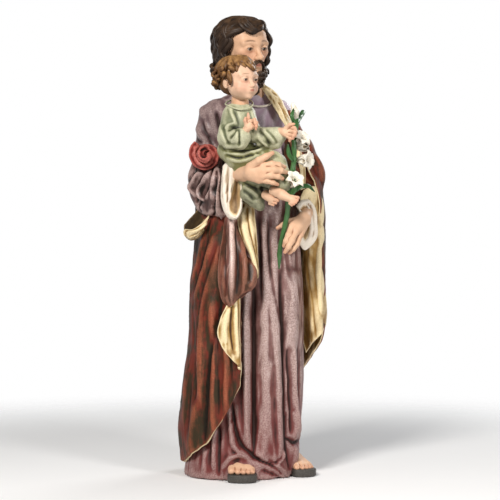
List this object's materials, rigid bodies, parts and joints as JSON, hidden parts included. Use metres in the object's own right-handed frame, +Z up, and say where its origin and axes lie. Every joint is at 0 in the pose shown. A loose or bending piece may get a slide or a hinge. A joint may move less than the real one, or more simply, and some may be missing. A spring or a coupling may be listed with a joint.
{
  "type": "saint joseph statue",
  "caption": "Standing robed saint in a long cloak, holding a seated child on one arm and a stem of lilies in the other hand; painted cast figure that rests on its flat underside.",
  "frame": {"origin": "centre of the bounding box, on the floor under the figure", "axes": "+Z up through the standing figure, -Y towards its front, +X to the figure's left"},
  "size_m": [0.2083, 0.2186, 0.6356],
  "materials": {
    "cast_resin": "hand-painted cast resin, satin, with dry-brushed folds and a dark wash in the grooves"
  },
  "bodies": {
    "root": {"statue": "cast_resin"}
  },
  "joints": []
}
